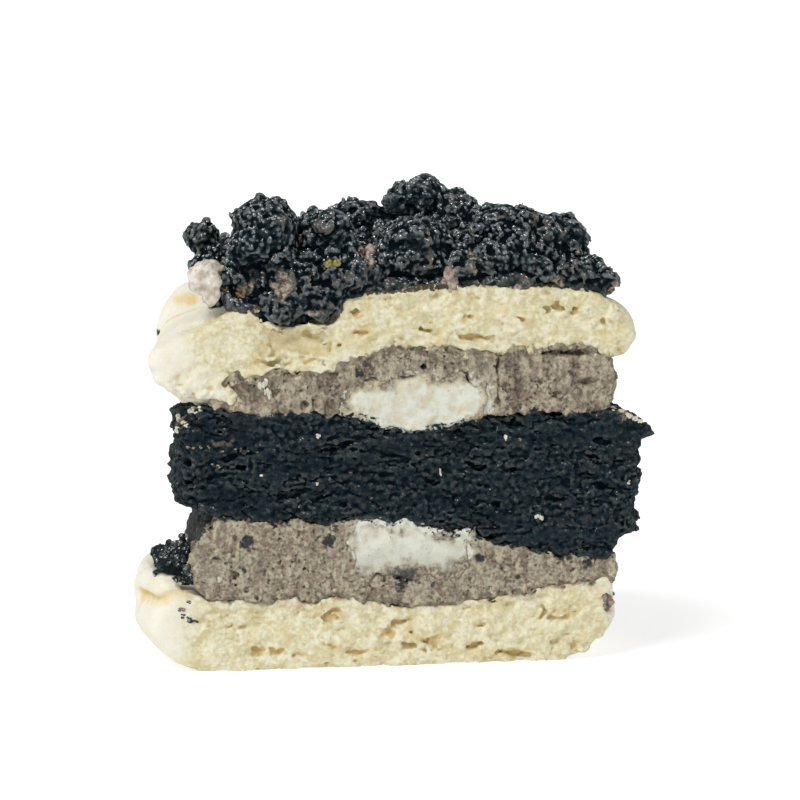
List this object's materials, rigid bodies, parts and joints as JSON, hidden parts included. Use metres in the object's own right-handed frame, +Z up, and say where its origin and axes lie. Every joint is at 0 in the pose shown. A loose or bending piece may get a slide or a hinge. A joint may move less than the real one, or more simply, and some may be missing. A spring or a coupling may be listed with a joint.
{
  "type": "macaron",
  "caption": "Piece of a tall filled macaron cut upright, with almond shells round speckled buttercream, a black cake slab and white cream centres, and a dark biscuit crumble on top",
  "frame": {"origin": "middle of the bounding box, on the plane the macaron rests on", "axes": "+Z up through the layers, +Y from the cut face to the round back, +X along the cut"},
  "size_m": [0.0556, 0.0348, 0.0512],
  "materials": {
    "shell": "matte, porous almond meringue",
    "cream": "matte, speckled with dark crumbs",
    "centre": "soft satin",
    "cake": "torn, moist crumb",
    "crumble": "granular with oily glints"
  },
  "bodies": {
    "root": {"bottom_shell": "shell", "lower_cream": "cream", "lower_centre": "centre", "cake_slab": "cake", "upper_cream": "cream", "upper_centre": "centre", "top_shell": "shell", "crumble": "crumble"}
  },
  "joints": []
}
